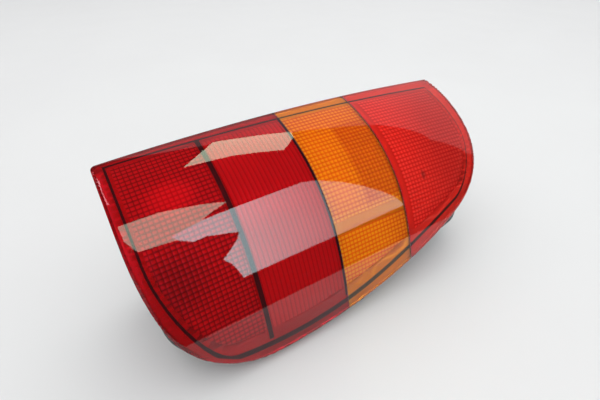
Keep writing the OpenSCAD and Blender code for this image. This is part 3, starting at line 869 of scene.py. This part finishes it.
# %% Dress the frame
FINISHES = {
    "sealing_bead": black_plastic,
    "black_plastic": black_plastic,
    "grey_plastic": grey_plastic,
    "metallised_plastic": metallised,
    "foam": foam,
    "rubber_cap": rubber,
    "zinc_steel": plated,
    "brass_strip": brass,
    "cap_metal": brass,
    "bulb_glass": bulb_glass,
}
for row in frame["record"]["subparts"]:
    if row["material_slot"] in FINISHES:
        materials = frame["nodes"][row["node"]].data.materials
        materials.clear()
        materials.append(FINISHES[row["material_slot"]])
print("finished slots:", len(FINISHES))

# %% [markdown]
# A black bead bonds the lens to the housing, and shows through the lens as a thin dark line. Its
# solid only touches the lens, and two faces in one place would flicker, so the bead shown here is
# a copy that is swollen by a hair and sinks into both.

# %% Swollen bead
BEAD_GROWTH = 0.08
BLOCK_TIMES = 4


def swollen_bead():
    """Copy of the bead, a hair larger all round."""
    bead = copy_of("lens_seal", SKIN)
    bm = bmesh.new()
    bm.from_mesh(bead.data)
    for v in bm.verts:
        v.co += v.normal * BEAD_GROWTH
    bm.to_mesh(bead.data)
    bm.free()
    return bead


def block(x0, x1):
    """Block between two lengths, several times as wide and high as the lamp."""
    bm = bmesh.new()
    bmesh.ops.create_cube(bm, size=1.0)
    bmesh.ops.scale(bm, verts=bm.verts, vec=(x1 - x0, BLOCK_TIMES * REACH, BLOCK_TIMES * DROP))
    bmesh.ops.translate(bm, verts=bm.verts, vec=((x0 + x1) / 2, 0, 0))
    return solid("block", bm)


print("bead swells by", BEAD_GROWTH, "mm")

# %% [markdown]
# Two prisms, the inner one a little out of line, thin the bead to the line that is seen. Strips of it
# also cross the lamp on the walls between the first three cells, cut out of the bead by blocks.

# %% Bonding bead
BEAD_INSETS = (0.5, 2.5)
BEAD_SHIFT = (0.8, -0.6, 0)
STRIPS = ((83.0, 87.2), (160.0, 166.0))
inner_room = tub_room(BEAD_INSETS[1], SKIN)
inner_room.data.transform(Matrix.Translation(BEAD_SHIFT))
ring = combine(swollen_bead(), tub_room(BEAD_INSETS[0], SKIN), "INTERSECT")
combine(ring, inner_room, "DIFFERENCE")
bm = bmesh.new()
bm.from_mesh(ring.data)
for x0, x1 in STRIPS:
    strip = combine(swollen_bead(), tub_room(BEAD_INSETS[1], SKIN), "INTERSECT")
    combine(strip, block(x0, x1), "INTERSECT")
    bm.from_mesh(strip.data)
    bpy.data.objects.remove(strip)
bm.to_mesh(ring.data)
bm.free()
ring.name = "bonding_bead"
dress(ring, (black_plastic,))
to_frame(ring)
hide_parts("lens_seal")
print("bead faces:", len(ring.data.polygons))

# %% [markdown]
# The lamp lies on a pale round table, made from a circle. A polished lens mirrors it, and on the
# real lens this mirror image ends at a line in front of the lamp. So the table is cut along that
# line, and its front part isn't seen in reflections.

# %% Table
ROOM = 3.0
TABLE_EDGE = -0.33
TABLE_SIDES = 96
table_finish = finish("pale_table", (0.70, 0.70, 0.70), 0.6, (8, 0.5, 0.7))


def table_half(name, front):
    """Part of the round table top, in front of its edge line or behind it."""
    bm = bmesh.new()
    bmesh.ops.create_circle(bm, cap_ends=True, segments=TABLE_SIDES, radius=ROOM,
                            matrix=Matrix.Translation((0, 0, FLOOR_Z)))
    bmesh.ops.bisect_plane(bm, geom=bm.verts[:] + bm.edges[:] + bm.faces[:],
                           plane_co=(0, TABLE_EDGE, 0), plane_no=(0, 1, 0),
                           clear_inner=not front, clear_outer=front)
    made = solid(name, bm)
    made.data.materials.append(table_finish)
    return made


table_half("table", False)
table_half("table_front", True).visible_glossy = False
print("table at", round(FLOOR_Z, 4))

# %% [markdown]
# Wall and windows give their own even light, so that no lamp is needed for them. Their places are
# found from the lens: a reflection comes from a direction, so each corner is an azimuth and an
# elevation in degrees, seen from the lamp.

# %% Glow and directions


def emitter(name, color, strength):
    """Material that only gives light."""
    material = bpy.data.materials.new(name)
    material.use_nodes = True
    material.node_tree.nodes.clear()
    glow = add_node(material, "Emission", {"Color": (*color, 1), "Strength": strength})
    add_node(material, "OutputMaterial", {"Surface": glow.outputs[0]})
    return material


def far_point(azimuth, elevation):
    """Point of the room in a direction given in degrees."""
    a, e = math.radians(azimuth), math.radians(elevation)
    return ROOM * Vector((math.cos(a) * math.cos(e), math.sin(a) * math.cos(e), math.sin(e)))


print("straight up is", [round(v, 3) for v in far_point(0, 90)])

# %% [markdown]
# The room's wall stands round the table and gives the broad pale reflections. Its top follows the
# line where they end on the lens. The stretch behind the camera closes the room for views from the
# back of the lamp, and isn't seen in reflections.

# %% Wall
WALL_TOPS = [(-30, 21), (-20, 36), (-7, 43), (7, 48), (23, 54), (39, 57), (56, 57), (69, 56), (85, 51),
             (97, 42), (130, 30), (180, 30), (245, 30)]
FRONT_TOPS = [(azimuth, 30) for azimuth in range(245, 331, 5)]
WALL_COLOR = (0.97, 0.98, 1.0)
WALL_GLOW = 0.72
wall_finish = emitter("pale_wall", WALL_COLOR, WALL_GLOW)


def room_wall(name, tops):
    """Upright wall of the room along given azimuths, up to given elevations."""
    bm = bmesh.new()
    rows = []
    for azimuth, elevation in tops:
        foot = far_point(azimuth, 0)
        rise = ROOM * math.tan(math.radians(elevation))
        rows.append([bm.verts.new(foot + Vector((0, 0, z))) for z in (FLOOR_Z, rise)])
    for (low_a, high_a), (low_b, high_b) in zip(rows, rows[1:]):
        bm.faces.new((low_b, low_a, high_a, high_b))
    made = solid(name, bm)
    made.data.materials.append(wall_finish)
    return made


room_wall("wall", WALL_TOPS)
room_wall("wall_front", FRONT_TOPS).visible_glossy = False
print("stretches of wall:", len(WALL_TOPS) - 1, "and", len(FRONT_TOPS) - 1)

# %% [markdown]
# The large reflections on the lens are windows: two in the roof, one at the side and a tall one in
# front. Each is given by the directions of its corners, a faint tint and a strength.

# %% Shapes of the windows
ROOF_LEFT = [(-144, 79), (-104, 82), (-70, 76), (-62, 69), (-73, 67), (-80, 64), (-93, 61), (-91, 57),
             (-104, 59), (-115, 69)]
ROOF_RIGHT = [(76, 70), (71, 59), (70, 55), (54, 57), (39, 57), (31, 60), (18, 66), (49, 69)]
SIDE = [(105, 57), (113, 67), (129, 76), (138, 73), (122, 63), (112, 54)]
FRONT = [(-93, 61), (-81, 64), (-68, 63), (-55, 60), (-44, 56), (-43, 53), (-45, 44), (-48, 29),
         (-50, 8), (-62, 8), (-81, 9), (-82, 24), (-83, 29), (-78, 39), (-76, 44), (-83, 51),
         (-87, 51), (-91, 57)]
WINDOWS = {
    "roof_window_left": (ROOF_LEFT, (0.75, 1.0, 0.82), 5.2),
    "roof_window_right": (ROOF_RIGHT, (0.75, 1.0, 0.75), 7.0),
    "side_window": (SIDE, (1.0, 0.8, 0.9), 5.0),
    "front_window": (FRONT, (0.66, 0.95, 1.0), 1.0),
}
print("corners:", {name: len(values[0]) for name, values in WINDOWS.items()})

# %% [markdown]
# A window is one face, cut into triangles because its outline has notches and its corners don't lie
# in one plane. It shows only in reflections and in the clear plastic, so it hardly changes the light
# on the lamp. The front one is brighter at its left end, so its strength falls along x.

# %% Windows
FADE_PLACES = (0.4, 1.4)
FADE_STRENGTHS = (8.0, 3.2)


def window(name, corners, color, strength):
    """Bright pane whose corners are given as azimuth and elevation."""
    bm = bmesh.new()
    face = bm.faces.new([bm.verts.new(far_point(*corner)) for corner in corners])
    bmesh.ops.triangulate(bm, faces=[face])
    pane = solid(name, bm)
    pane.data.materials.append(emitter(name, color, strength))
    pane.visible_camera = False
    pane.visible_diffuse = False
    return pane


def fade_along_x(pane):
    """Lets a pane's strength fall along x."""
    glow = pane.data.materials[0]
    where = add_node(glow, "TexCoord").outputs["Object"]
    along = add_node(glow, "SeparateXYZ", {"Vector": where}).outputs["X"]
    fall = add_node(glow, "MapRange", {
        "Value": along,
        "From Min": FADE_PLACES[0],
        "From Max": FADE_PLACES[1],
        "To Min": FADE_STRENGTHS[0],
        "To Max": FADE_STRENGTHS[1],
    })
    fill(glow, glow.node_tree.nodes["Emission"].inputs["Strength"], fall.outputs["Result"])


panes = {name: window(name, *values) for name, values in WINDOWS.items()}
fade_along_x(panes["front_window"])
print("windows:", len(panes))

# %% [markdown]
# A weak, slightly cool world fills the shadows, as pale walls do in a real room.

# %% World
WORLD_COLOR = (0.86, 0.88, 0.9)
WORLD_STRENGTH = 0.12
world = bpy.data.worlds.new("world")
bpy.context.scene.world = world
world.use_nodes = True
world.node_tree.nodes["Background"].inputs["Color"].default_value = (*WORLD_COLOR, 1)
world.node_tree.nodes["Background"].inputs["Strength"].default_value = WORLD_STRENGTH
print("world strength:", WORLD_STRENGTH)

# %% [markdown]
# The even light comes from a wide panel overhead, so the shadows are soft and the colours render
# about as they are written. The panel leaves no glint, because the reflections are the windows' work.

# %% Panel overhead
PANEL_PLACE = Vector((0.1, 0.0, 1.8))
PANEL_SIZE = 4.4
PANEL_POWER = 86
panel = bpy.data.lights.new("overhead", "AREA")
panel.shape = "SQUARE"
panel.size = PANEL_SIZE
panel.energy = PANEL_POWER
overhead = bpy.data.objects.new("overhead", panel)
overhead.location = PANEL_PLACE
overhead.rotation_euler = (-PANEL_PLACE).to_track_quat("-Z", "Y").to_euler()
overhead.visible_glossy = False
bpy.context.scene.collection.objects.link(overhead)
print("panel of", PANEL_POWER, "watts")

# %% [markdown]
# View settings stay plain, so that a colour renders as it is written. The size of the frame's box is
# printed.

# %% Finish
bpy.context.scene.view_settings.view_transform = "Standard"
print("cad box", [round(v, 4) for v in cad_high - cad_low])
